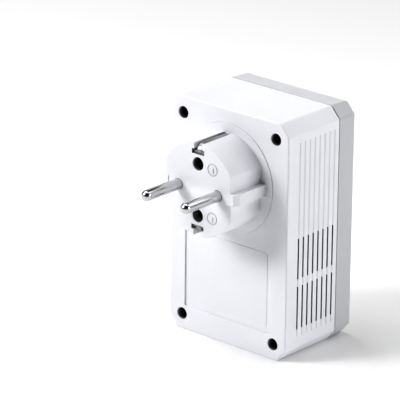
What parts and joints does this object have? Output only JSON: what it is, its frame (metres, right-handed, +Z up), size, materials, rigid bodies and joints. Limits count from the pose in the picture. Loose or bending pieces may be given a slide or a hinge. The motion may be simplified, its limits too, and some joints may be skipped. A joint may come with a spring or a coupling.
{
  "type": "powerline network adapter",
  "caption": "Plug-in powerline network adapter: two-part case with vents, CEE 7/7 mains plug, network port, pair button and status lights.",
  "frame": {"origin": "middle of the mains plug's engagement face, between its two line pins", "axes": "+Y out of the plug face into the wall socket, +Z up along the case's height, +X to the right as seen from the front"},
  "size_m": [0.057, 0.0754, 0.0925],
  "materials": {
    "white_shell": "satin white moulded ABS",
    "grey_shell": "satin light grey moulded ABS",
    "black_plastic": "matt black moulded plastic",
    "nickel": "satin nickel plating on brass",
    "steel": "zinc-plated steel",
    "aluminium": "extruded aluminium",
    "gold": "gold-flashed bronze springs",
    "laminate": "green solder resist on glass-fibre laminate",
    "ferrite": "sintered ferrite",
    "copper": "enamelled copper wire",
    "tape": "yellow polyester tape",
    "clear": "clear acrylic",
    "label_film": "blank satin film label",
    "film_box": "grey potted case",
    "can_sleeve": "dark blue shrink sleeve",
    "disc_coat": "blue epoxy dip",
    "brown_wire": "brown wire insulation",
    "blue_wire": "blue wire insulation",
    "earth_wire": "green and yellow wire insulation",
    "soft_sheet": "thin insulating and gap-filling sheet"
  },
  "bodies": {
    "housing": {"rear_housing": "white_shell", "plug_body": "white_shell", "front_cover": "grey_shell", "plug_retainer": "black_plastic", "fuse": "black_plastic", "coupling_transformer": "black_plastic", "optocoupler": "black_plastic", "bridge_rectifier": "black_plastic", "plc_chip": "black_plastic", "memory_chip": "black_plastic", "ethernet_chip": "black_plastic", "ethernet_transformer": "black_plastic", "board_connector": "black_plastic", "pair_switch_body": "black_plastic", "reset_switch_body": "black_plastic", "ethernet_jack_insert": "black_plastic", "pin_line": "nickel", "pin_neutral": "nickel", "earth_strap": "nickel", "earth_socket": "nickel", "case_screw_1": "steel", "case_screw_2": "steel", "case_screw_3": "steel", "case_screw_4": "steel", "plug_screw": "steel", "board_screw_1": "steel", "board_screw_2": "steel", "crystal": "steel", "ethernet_jack_shield": "steel", "heat_sink": "aluminium", "ethernet_jack_contacts": "gold", "power_board": "laminate", "main_board": "laminate", "choke_core": "ferrite", "transformer_core": "ferrite", "choke_winding_1": "copper", "choke_winding_2": "copper", "transformer_bobbin": "tape", "led_power": "clear", "led_powerline": "clear", "led_ethernet": "clear", "light_guide": "clear", "rating_label": "label_film", "x_capacitor": "film_box", "coupling_capacitor": "film_box", "bulk_capacitor_1": "can_sleeve", "bulk_capacitor_2": "can_sleeve", "output_capacitor_1": "can_sleeve", "output_capacitor_2": "can_sleeve", "varistor": "disc_coat", "y_capacitor": "disc_coat", "line_lead": "brown_wire", "neutral_lead": "blue_wire", "earth_lead": "earth_wire", "thermal_pad": "soft_sheet", "insulating_sheet": "soft_sheet"},
    "pair_button": {"pair_button": "grey_shell"},
    "pair_plunger": {"pair_switch_plunger": "grey_shell"},
    "reset_plunger": {"reset_switch_plunger": "grey_shell"}
  },
  "joints": [
    {"name": "pair_button_press", "type": "slide", "parent": "housing", "child": "pair_button", "axis": [0, 1, 0], "range_m": [0, 0.0005], "stiffness_N_per_m": 800},
    {"name": "pair_plunger_press", "type": "slide", "parent": "housing", "child": "pair_plunger", "axis": [0, 1, 0], "range_m": [0, 0.0005]},
    {"name": "reset_plunger_press", "type": "slide", "parent": "housing", "child": "reset_plunger", "axis": [0, 0, 1], "range_m": [0, 0.0003], "stiffness_N_per_m": 600}
  ],
  "couplings": [
    {"joint": "pair_plunger_press", "follows": "pair_button_press", "ratio": 1}
  ]
}
